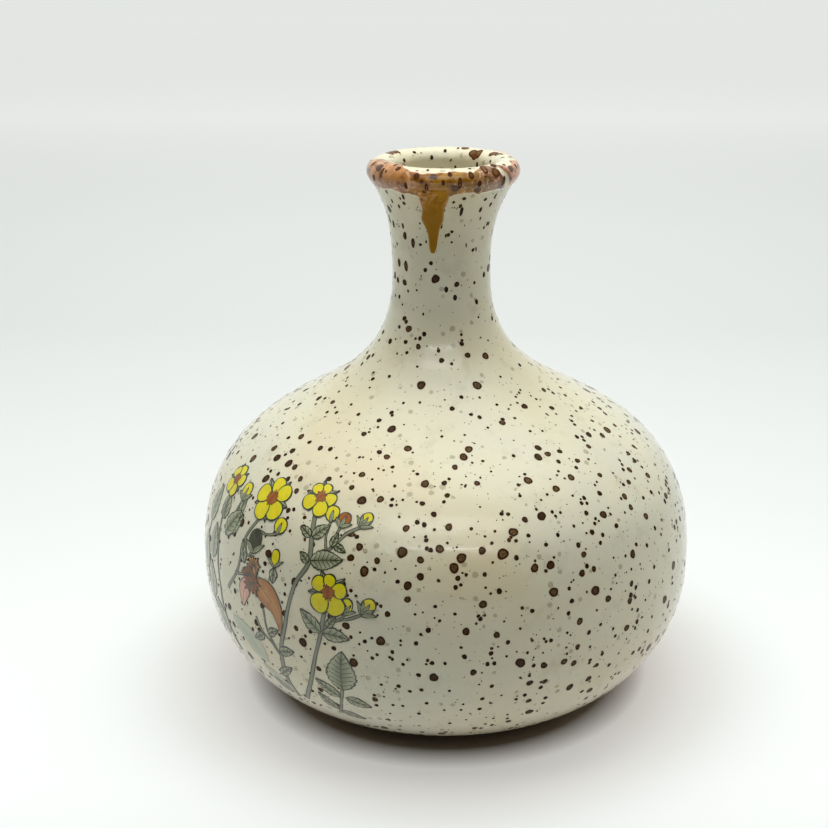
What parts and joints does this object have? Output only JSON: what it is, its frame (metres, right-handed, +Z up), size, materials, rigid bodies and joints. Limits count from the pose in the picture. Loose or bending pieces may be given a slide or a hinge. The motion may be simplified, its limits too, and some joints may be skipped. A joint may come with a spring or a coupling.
{
  "type": "ceramic bud vase",
  "caption": "Round-bellied speckled ceramic bud vase with a slender neck, a rolled honey-glazed lip and a printed spray of yellow flowers.",
  "frame": {"origin": "middle of the foot ring's underside, where the vase stands on a table", "axes": "+Z up along the vase's turning axis; -Y to the front, the side that a viewer sees with the flowers at its left; +X to the viewer's right"},
  "size_m": [0.12, 0.12, 0.13],
  "materials": {
    "clay": "bare fired stoneware, warm buff with iron specks",
    "cream_glaze": "glossy cream glaze with dark iron spots",
    "honey_glaze": "glossy amber-brown glaze, broken and runny",
    "yellow_print": "fired yellow transfer print",
    "orange_print": "fired orange-brown transfer print",
    "green_print": "fired grey-green transfer print"
  },
  "bodies": {
    "root": {"foot_ring": "clay", "floor_disc": "clay", "lower_bowl": "clay", "belly_lower_wall": "clay", "belly_upper_wall": "clay", "shoulder": "clay", "neck_root": "clay", "neck_tube": "clay", "lip_roll": "clay", "outer_glaze": "cream_glaze", "liner_glaze": "cream_glaze", "rim_glaze": "honey_glaze", "glaze_run": "honey_glaze", "flower_print_1": "yellow_print", "flower_print_2": "yellow_print", "flower_print_3": "yellow_print", "flower_print_4": "yellow_print", "bud_print_1": "orange_print", "bud_print_2": "orange_print", "bud_print_3": "orange_print", "bud_print_4": "orange_print", "bud_print_5": "orange_print", "leaf_print_1": "green_print", "leaf_print_2": "green_print", "leaf_print_3": "green_print", "stem_print_1": "green_print", "stem_print_2": "green_print", "stem_print_3": "green_print"}
  },
  "joints": []
}
